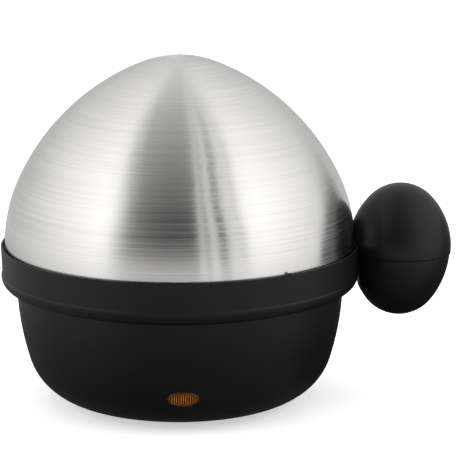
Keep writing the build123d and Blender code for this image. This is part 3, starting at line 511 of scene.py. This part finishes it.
# The handle is the same plastic, with rounder edges where its halves meet
blackHandle = mouldedFinish("mouldedBlackHandle", {
    "colours": ("0C0C0D", "0F0F10"), "rough": (0.34, 0.4), "rubbed": 0.34, "ior": 1.49,
    "cloudMm": 30, "grainMm": 0.5, "grainDepthMm": 0.006, "edgeMm": 1.5,
    "also": {"Specular IOR Level": 0.25},
})
dress(blackHandle, "handle_upper_shell", "handle_lower_shell")

# The lift-out tray is the same plastic from a coarser mould, so it looks duller
trayPlastic = mouldedFinish("texturedTrayPolypropylene", {
    "colours": ("1A1A1B", "212122"), "rough": (0.5, 0.6), "rubbed": 0.4, "ior": 1.49,
    "cloudMm": 30, "grainMm": 0.9, "grainDepthMm": 0.03, "edgeMm": 0.4,
})
dress(trayPlastic, "egg_tray")

# Nylon from a polished mould: the switch is glossier than the casing round it
switchNylon = mouldedFinish("polishedBlackNylon", {
    "colours": ("0E0E0F", "121213"), "rough": (0.2, 0.26), "rubbed": 0.18, "ior": 1.53,
    "cloudMm": 12, "grainMm": 0.4, "grainDepthMm": 0.002, "edgeMm": 0.25,
})
dress(switchNylon, "switch_housing", "switch_rocker")

# White polyamide of terminal blocks and lamp holders: chalky, a little yellow
whiteMoulding = mouldedFinish("mouldedWhitePolyamide", {
    "colours": ("D9D6CC", "E4E1D8"), "rough": (0.45, 0.55), "rubbed": 0.4, "ior": 1.53,
    "cloudMm": 9, "grainMm": 0.5, "grainDepthMm": 0.01, "edgeMm": 0.3,
    "also": {"Subsurface Weight": 0.15, "Subsurface Scale": 0.002},
})
dress(whiteMoulding, "terminal_block", "lamp_holder")

# Phenolic resin of the thermostat's body: dark brown, with light flecks of filler
phenolicResin = mouldedFinish("mouldedPhenolicResin", {
    "colours": ("2E1A10", "4A2C1B"), "rough": (0.35, 0.5), "rubbed": 0.3, "ior": 1.6,
    "cloudMm": 1.2, "grainMm": 0.4, "grainDepthMm": 0.01, "edgeMm": 0.25,
})
dress(phenolicResin, "thermostat")

# Vulcanised rubber of the feet and the cord's bush: matt black, dusty in its pores
blackRubber = mouldedFinish("vulcanisedBlackRubber", {
    "colours": ("1C1C1C", "2A2927"), "rough": (0.72, 0.86), "rubbed": 0.6, "ior": 1.52,
    "cloudMm": 5, "grainMm": 0.35, "grainDepthMm": 0.02, "edgeMm": 0.3,
    "also": {"Sheen Weight": 0.1},
})
dress(blackRubber, "rubber_feet", "cord_gland")

# Pressed silicone of the pan's seal: milky, with a waxy gloss
milkySilicone = mouldedFinish("pressedMilkySilicone", {
    "colours": ("B9B8B2", "C9C8C3"), "rough": (0.4, 0.5), "rubbed": 0.35, "ior": 1.41,
    "cloudMm": 8, "grainMm": 0.6, "grainDepthMm": 0.008, "edgeMm": 0.3,
    "also": {"Subsurface Weight": 0.4, "Subsurface Scale": 0.003},
})
dress(milkySilicone, "pan_seal")

# Deep-drawn stainless steel, spun against an abrasive belt: fine rings with a glow across them
domeSteel = ringedSteel("brushedStainlessSteel", {
    "colours": ("CFCECC", "DEDDDB"), "rough": (0.16, 0.28), "drawnOut": 0.85,
    "centreMm": 70, "radiusMm": 88, "lineDepthMm": 0.0009,
    "lines": ((0.42, 110), (0.85, 240)),  # drawn coarser than the belt's grit, so that the lines show
})
dress(domeSteel, "lid_dome")

# The pan is the same steel, only drawn: smoother, with faint rings from its press
panSteel = ringedSteel("drawnStainlessSteel", {
    "colours": ("C3C2C0", "D6D5D3"), "rough": (0.2, 0.28), "drawnOut": 0.5,
    "centreMm": -300, "radiusMm": 340, "lineDepthMm": 0.002, "lines": ((1.2, 90), (5, 260)),
})
dress(panSteel, "pan", "pan_standoffs")

# Zinc-plated steel of screws, pin and strap: blue-white, slightly cloudy
zincSteel = metalFinish("zincPlatedSteel", {
    "colours": ("A9ACAF", "C6C9CB"), "rough": (0.26, 0.38), "markMm": (1.5, 1.5, 1.5),
    "markDepthMm": 0.002, "edgeMm": 0.15,
})
dress(
    zincSteel, "cover_screws", "pan_screws", "clamp_screws", "bracket_screws", "handle_screw",
    "hinge_pin", "thermostat_bracket",
)

# Gravity-cast aluminium: pale grey and pitted
castAluminium = metalFinish("castAluminium", {
    "colours": ("A2A3A4", "BCBDBE"), "rough": (0.45, 0.6), "markMm": (0.8, 0.8, 0.8),
    "markDepthMm": 0.03, "edgeMm": 0.3,
})
dress(castAluminium, "heater_disc")

# Steel sheath of the element, browned by its own heat
sheathSteel = metalFinish("heatBrownedSteel", {
    "colours": ("4C463F", "6E665C"), "rough": (0.4, 0.55), "markMm": (3, 3, 3),
    "markDepthMm": 0.003, "edgeMm": 0.1,
})
dress(sheathSteel, "heating_element")

# Stamped brass of blades, pins and the fuse's can: yellow, lightly dulled
stampedBrass = metalFinish("stampedBrass", {
    "colours": ("B08D45", "D0B068"), "rough": (0.25, 0.36), "markMm": (0.6, 0.6, 4),
    "markDepthMm": 0.002, "edgeMm": 0.1,
})
dress(stampedBrass, "switch_blades", "element_pins", "thermal_fuse")

# Soda-lime glass of the neon bulb: clear and wavy, with a little of the orange of what is inside it
bulb = {
    "tint": "F6D9C4", "rough": 0.03, "ior": 1.52, "clear": 0.9, "wavesPerMetre": 300.0, "waveMm": 0.02,
}
bulbGlass, tree, shader = newMaterial("clearSodaGlass")
place = addNode(tree, "ShaderNodeTexCoord")
ripple = addNode(
    tree, "ShaderNodeTexNoise", {}, {"Scale": bulb["wavesPerMetre"], "Detail": 1.0},
    Vector=place.outputs["Object"],
)
bump = addNode(
    tree, "ShaderNodeBump", {}, {"Strength": 1.0, "Distance": bulb["waveMm"] / 1000},
    Height=ripple.outputs["Fac"],
)
shader.inputs["Base Color"].default_value = hexColour(bulb["tint"])
shader.inputs["Roughness"].default_value = bulb["rough"]
shader.inputs["IOR"].default_value = bulb["ior"]
shader.inputs["Transmission Weight"].default_value = bulb["clear"]
tree.links.new(bump.outputs[0], shader.inputs["Normal"])
dress(bulbGlass, "neon_lamp")
print("CAD nodes dressed")


# Amber lens: injection-moulded polycarbonate with a raised rim, and upright ribs inside it
lens = {
    "lean": 22.953,  # degrees that the bowl's wall leans outwards at the lamp
    "holderMiddle": 8.8,  # mm from the wall's face in to the middle of the lamp holder
    "halfWidth": 7.4,
    "halfTall": 4.15,
    "wallRadius": 72.0,  # mm, the bowl's radius at the lamp, which the lens follows
    "ribCount": 13,
    "ribPitch": 1.07,
    "ribRadius": 0.28,
    "ribSeat": -0.16,
    "ribSides": 16,
    "ribInset": (0.6, 0.85),  # mm from the lens's edge to the ribs' ends, sideways and up
    "ovalSteps": 96,
    "sharpFrom": 50,  # degrees
    "flowPerMetre": 350.0,
    "flowMm": 0.02,
    "ior": 1.58,
    "specular": 0.3,
    # The lens's line from the middle of its back to the middle of its face: how far in from its edge, and
    # how far out from the wall, in mm
    "profile": (
        (-1.2, -4.6), (-1.2, -3.4), (0.0, -3.4), (0.0, 0.1), (0.08, 0.38), (0.28, 0.56), (0.5, 0.6),
        (0.72, 0.54), (0.92, 0.34), (1.05, 0.0), (1.2, -0.25),
    ),
    "backHeight": -4.6,
    "faceHeight": -0.12,
}


# Amber plastic: its tone drifts a little, as it flowed in the mould
def lensPlastic(name, colour, roughness):
    material, tree, shader = newMaterial(name)
    place = addNode(tree, "ShaderNodeTexCoord")
    flow = addNode(
        tree, "ShaderNodeTexNoise", {}, {"Scale": lens["flowPerMetre"], "Detail": 2.0},
        Vector=place.outputs["Object"],
    )
    low, high = noiseSpans["moulded"]
    tone = addNode(
        tree, "ShaderNodeMapRange", {}, {"From Min": low, "From Max": high}, Value=flow.outputs["Fac"]
    )
    tint = addNode(
        tree, "ShaderNodeMix", {"data_type": "RGBA"},
        {6: hexColour(colour[0]), 7: hexColour(colour[1])}, Factor=tone.outputs[0],
    )
    bump = addNode(
        tree, "ShaderNodeBump", {}, {"Strength": 1.0, "Distance": lens["flowMm"] / 1000},
        Height=flow.outputs["Fac"],
    )
    shader.inputs["Roughness"].default_value = roughness
    shader.inputs["IOR"].default_value = lens["ior"]
    shader.inputs["Specular IOR Level"].default_value = lens["specular"]
    tree.links.new(tint.outputs[2], shader.inputs["Base Color"])
    tree.links.new(bump.outputs[0], shader.inputs["Normal"])
    return material


# Amber polycarbonate: brown where it is thick. The ribs get a lighter tan copy of the same plastic, a
# painted highlight where a rib catches the light
lensBody = lensPlastic("amberPolycarbonate", ("3A1A00", "4A2300"), 0.16)
# painted highlight: the ribs' lighter colour stands in for the light that they catch
lensRibHighlight = lensPlastic("amberPolycarbonateRibHighlight", ("8C5206", "A0640E"), 0.26)


# Upright ribs in a row, each as long as the oval is tall at its place
def ribTree():
    tree = bpy.data.node_groups.new("lensRibs", "GeometryNodeTree")
    for name, kind in (
        ("Count", "Int"), ("Pitch", "Float"), ("Half Width", "Float"), ("Half Tall", "Float"),
        ("Rib Radius", "Float"), ("Seat", "Float"), ("Material", "Material"),
    ):
        tree.interface.new_socket(name=name, in_out="INPUT", socket_type="NodeSocket" + kind)
    tree.interface.new_socket(name="Geometry", in_out="OUTPUT", socket_type="NodeSocketGeometry")
    given = addNode(tree, "NodeGroupInput").outputs
    fromEnd = addNode(
        tree, "ShaderNodeMath", {"operation": "SUBTRACT"}, {1: 1.0}, i0=given["Count"]
    )
    span = addNode(
        tree, "ShaderNodeMath", {"operation": "MULTIPLY"}, i0=fromEnd.outputs[0], i1=given["Pitch"]
    )
    start = addNode(tree, "ShaderNodeMath", {"operation": "MULTIPLY"}, {1: -0.5}, i0=span.outputs[0])
    first = addNode(tree, "ShaderNodeCombineXYZ", X=start.outputs[0], Z=given["Seat"])
    step = addNode(tree, "ShaderNodeCombineXYZ", X=given["Pitch"])
    row = addNode(
        tree, "GeometryNodeMeshLine", {}, {}, Count=given["Count"],
        Start_Location=first.outputs[0], Offset=step.outputs[0],
    )
    place = addNode(tree, "GeometryNodeInputPosition")
    axes = addNode(tree, "ShaderNodeSeparateXYZ", Vector=place.outputs[0])
    share = addNode(
        tree, "ShaderNodeMath", {"operation": "DIVIDE"}, i0=axes.outputs["X"], i1=given["Half Width"]
    )
    squared = addNode(tree, "ShaderNodeMath", {"operation": "POWER"}, {1: 2.0}, i0=share.outputs[0])
    left = addNode(tree, "ShaderNodeMath", {"operation": "SUBTRACT"}, {0: 1.0}, i1=squared.outputs[0])
    root = addNode(tree, "ShaderNodeMath", {"operation": "SQRT"}, i0=left.outputs[0])
    long = addNode(
        tree, "ShaderNodeMath", {"operation": "MULTIPLY"}, i0=root.outputs[0], i1=given["Half Tall"]
    )
    length = addNode(tree, "ShaderNodeMath", {"operation": "MULTIPLY"}, {1: 2.0}, i0=long.outputs[0])
    size = addNode(tree, "ShaderNodeCombineXYZ", {}, {"X": 1.0, "Y": 1.0}, Z=length.outputs[0])
    bar = addNode(
        tree, "GeometryNodeMeshCylinder", {}, {"Vertices": lens["ribSides"], "Depth": 1.0},
        Radius=given["Rib Radius"],
    )
    ribs = addNode(
        tree, "GeometryNodeInstanceOnPoints", {}, {"Rotation": (math.radians(90), 0, 0)},
        Points=row.outputs[0], Instance=bar.outputs["Mesh"], Scale=size.outputs[0],
    )
    real = addNode(tree, "GeometryNodeRealizeInstances", Geometry=ribs.outputs[0])
    smooth = addNode(tree, "GeometryNodeSetShadeSmooth", Geometry=real.outputs[0])
    painted = addNode(
        tree, "GeometryNodeSetMaterial", Geometry=smooth.outputs[0], Material=given["Material"]
    )
    addNode(tree, "NodeGroupOutput", Geometry=painted.outputs[0])
    return tree


# The plain mesh that a tree makes from these values
def grown(name, tree, values):
    holder = meshPiece(name, [], [])
    modifier = holder.modifiers.new(name, "NODES")
    modifier.node_group = tree
    for item in tree.interface.items_tree:
        if item.item_type == "SOCKET" and item.in_out == "INPUT":
            modifier[item.identifier] = values[item.name]
    bpy.context.view_layer.update()
    done = holder.evaluated_get(bpy.context.evaluated_depsgraph_get())
    mesh = bpy.data.meshes.new_from_object(done)
    bpy.data.objects.remove(holder)
    return mesh


# A closed oval body with this line from its back to its face
def ovalShell(profile, halfWidth, halfTall, backHeight, faceHeight, steps):
    verts, faces = [(0.0, 0.0, backHeight)], []
    for inset, height in profile:
        wide, tall = halfWidth - inset, halfTall - inset
        for i in range(steps):
            turn = 2 * math.pi * i / steps
            verts.append((wide * math.cos(turn), tall * math.sin(turn), height))
    verts.append((0.0, 0.0, faceHeight))
    for i in range(steps):
        j = (i + 1) % steps
        faces.append((0, 1 + j, 1 + i))
        for ring in range(len(profile) - 1):
            low, high = 1 + ring * steps, 1 + (ring + 1) * steps
            faces.append((low + i, low + j, high + j, high + i))
        top = 1 + (len(profile) - 1) * steps
        faces.append((top + i, top + j, len(verts) - 1))
    return verts, faces


lensVerts, lensFaces = ovalShell(
    lens["profile"], lens["halfWidth"], lens["halfTall"], lens["backHeight"], lens["faceHeight"],
    lens["ovalSteps"],
)
ribMesh = grown("lensRibs", ribTree(), {
    "Count": lens["ribCount"], "Pitch": lens["ribPitch"],
    "Half Width": lens["halfWidth"] - lens["ribInset"][0],
    "Half Tall": lens["halfTall"] - lens["ribInset"][1],
    "Rib Radius": lens["ribRadius"], "Seat": lens["ribSeat"], "Material": lensRibHighlight,
})
offset = len(lensVerts)
lensVerts += [tuple(v.co) for v in ribMesh.vertices]
ribFaces = [tuple(offset + v for v in face.vertices) for face in ribMesh.polygons]
ambers = meshPiece("lampLens", lensVerts, lensFaces + ribFaces, lensBody, lensRibHighlight)
for face in ambers.data.polygons:
    face.material_index = int(face.index >= len(lensFaces))
    face.use_smooth = True
ambers.data.set_sharp_from_angle(angle=math.radians(lens["sharpFrom"]))

lean = math.radians(lens["lean"])
outward = Vector((0, -math.cos(lean), -math.sin(lean)))
upward = Vector((0, -math.sin(lean), math.cos(lean)))
holderLow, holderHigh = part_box("lamp_holder")
lensOrigin = (holderLow + holderHigh) / 2 + outward * lens["holderMiddle"] / 1000
flangeHeight = lens["profile"][2][1]  # above this the lens follows the bowl's curve
for vertex in ambers.data.vertices:
    x, y, z = vertex.co
    z -= x * x / (2 * lens["wallRadius"]) * (z > flangeHeight)
    vertex.co = lensOrigin + (Vector((1, 0, 0)) * x + upward * y + outward * z) / 1000
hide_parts("lamp_lens")
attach(ambers, "base")
print("lens made")


# Switch marks: a bar for on and a ring for off, pad-printed on the rocker's two faces
switchMarks = {
    "barWidth": 0.75,  # mm, as are all but the last three
    "barTall": 4.2,
    "ringRadius": 2.1,
    "ringWidth": 0.7,
    "thick": 0.05,
    "ringSteps": 48,
    "capSteps": 12,
    "facing": 0.8,  # how squarely a face of the rocker looks outwards to be one of its two pads
}

# Pad-printed ink: flat white, slightly rough, thin enough to follow the plastic
whiteInk = mouldedFinish("padPrintedWhiteInk", {
    "colours": ("D2D2CE", "DEDEDA"), "rough": (0.5, 0.6), "rubbed": 0.5, "ior": 1.5,
    "cloudMm": 2, "grainMm": 0.2, "grainDepthMm": 0.003, "edgeMm": 0.05,
})


def closedRing(inner, outer, thick):
    steps = len(outer)
    verts = [(x, y, z) for loop in (inner, outer) for z in (-thick, thick) for x, y in loop]
    faces = []
    for i in range(steps):
        j = (i + 1) % steps
        innerLow, innerHigh, outerLow, outerHigh = (
            (k * steps + i, k * steps + j) for k in range(4)
        )
        faces.append((innerHigh[0], outerHigh[0], outerHigh[1], innerHigh[1]))
        faces.append((innerLow[1], outerLow[1], outerLow[0], innerLow[0]))
        faces.append((outerLow[0], outerLow[1], outerHigh[1], outerHigh[0]))
        faces.append((innerLow[1], innerLow[0], innerHigh[0], innerHigh[1]))
    return verts, faces


def closedPlate(outline, thick):
    steps = len(outline)
    verts = [(x, y, z) for z in (-thick, thick) for x, y in outline]
    sides = [(i, (i + 1) % steps, steps + (i + 1) % steps, steps + i) for i in range(steps)]
    return verts, [tuple(reversed(range(steps))), tuple(range(steps, 2 * steps))] + sides


rocker = frame["nodes"]["switch_rocker"].data
rockerMiddle = sum((v.co for v in rocker.vertices), Vector()) / len(rocker.vertices)
wallOutward = Vector((rockerMiddle.x, rockerMiddle.y, 0)).normalized()
rockerAxis = next(Vector(j["axis"]) for j in frame["joints"] if j["name"] == "switch_rock")
rockerUp = -rockerAxis if rockerAxis.z < 0 else rockerAxis
facesSeen = {}
for face in rocker.polygons:
    if face.normal.dot(wallOutward) > switchMarks["facing"]:
        key = tuple(round(c, 2) for c in face.normal)
        area, centre, normal = facesSeen.get(key, (0.0, Vector(), Vector()))
        facesSeen[key] = (
            area + face.area, centre + face.center * face.area, normal + face.normal * face.area
        )
pads = sorted(facesSeen.values(), key=lambda seen: -seen[0])[:2]
pads.sort(key=lambda seen: (seen[1] / seen[0]).dot(rockerUp.cross(wallOutward)))
cap = switchMarks["barWidth"] / 2
half = switchMarks["barTall"] / 2 - cap
barTurns = [math.pi * i / switchMarks["capSteps"] for i in range(switchMarks["capSteps"] + 1)]
barLine = [(cap * math.cos(t), half + cap * math.sin(t)) for t in barTurns]
barLine += [(-x, -y) for x, y in barLine]
ringTurns = [2 * math.pi * i / switchMarks["ringSteps"] for i in range(switchMarks["ringSteps"])]
ringLines = [
    [(r * math.cos(t), r * math.sin(t)) for t in ringTurns]
    for r in (switchMarks["ringRadius"] - switchMarks["ringWidth"], switchMarks["ringRadius"])
]
shapes = {
    "offMark": closedRing(*ringLines, switchMarks["thick"]),
    "onMark": closedPlate(barLine, switchMarks["thick"]),
}
for (name, (verts, faces)), (area, centre, normal) in zip(shapes.items(), pads):
    normal = normal.normalized()
    right = rockerUp.cross(normal).normalized()
    up = normal.cross(right)
    place = centre / area
    placed = [place + (right * x + up * y + normal * z) / 1000 for x, y, z in verts]
    mark = meshPiece(name, placed, faces, whiteInk)
    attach(mark, "rocker")
print("switch marked")
